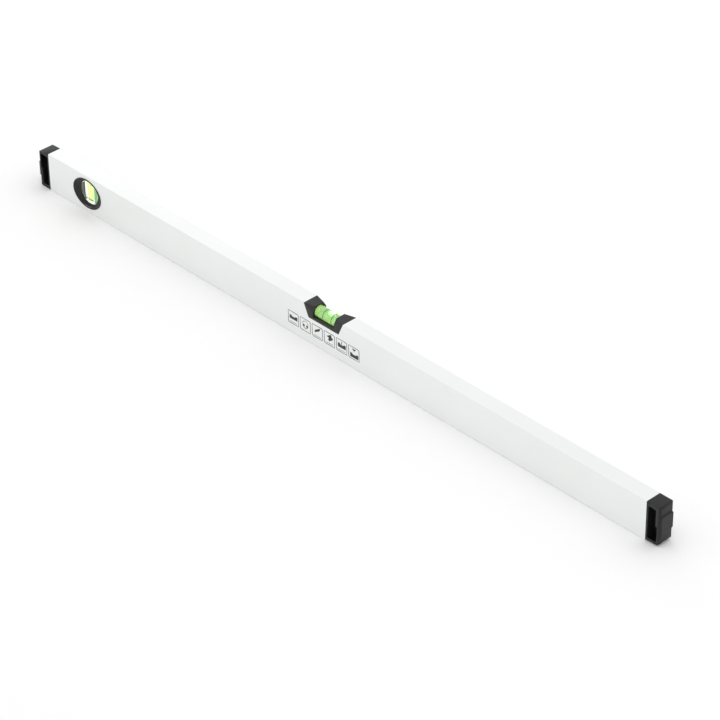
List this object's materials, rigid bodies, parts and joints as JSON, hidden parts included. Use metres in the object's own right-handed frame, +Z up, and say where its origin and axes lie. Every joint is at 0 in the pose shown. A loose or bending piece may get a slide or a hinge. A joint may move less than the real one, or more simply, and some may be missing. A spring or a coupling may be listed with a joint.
{
  "type": "magnetic spirit level",
  "caption": "Aluminium box-section spirit level with a level vial in its top edge, an upright plumb vial near one end, black end caps and a magnetic base.",
  "frame": {"origin": "middle of the base face, halfway along the level", "axes": "+X along the level away from the plumb vial, +Y from the printed front side to the back, +Z up from the base to the top face"},
  "size_m": [1, 0.022, 0.05],
  "materials": {
    "aluminium": "satin, clear anodised",
    "black_plastic": "matt, lightly textured moulding",
    "vial_acrylic": "clear, polished",
    "vial_liquid": "clear, yellow-green",
    "vial_plug": "smooth",
    "magnet_metal": "nickel plate",
    "cup_plastic": "matt"
  },
  "bodies": {
    "root": {"profile": "aluminium", "end_cap_left": "black_plastic", "end_cap_right": "black_plastic", "saddle": "black_plastic", "level_vial_body": "vial_acrylic", "level_vial_liquid": "vial_liquid", "level_vial_plug": "vial_plug", "plumb_bezel_front": "black_plastic", "plumb_bezel_back": "black_plastic", "plumb_vial_body": "vial_acrylic", "plumb_vial_liquid": "vial_liquid", "plumb_vial_plug": "vial_plug", "magnet_1": "magnet_metal", "magnet_cup_1": "cup_plastic", "magnet_2": "magnet_metal", "magnet_cup_2": "cup_plastic", "magnet_3": "magnet_metal", "magnet_cup_3": "cup_plastic", "magnet_4": "magnet_metal", "magnet_cup_4": "cup_plastic"}
  },
  "joints": []
}
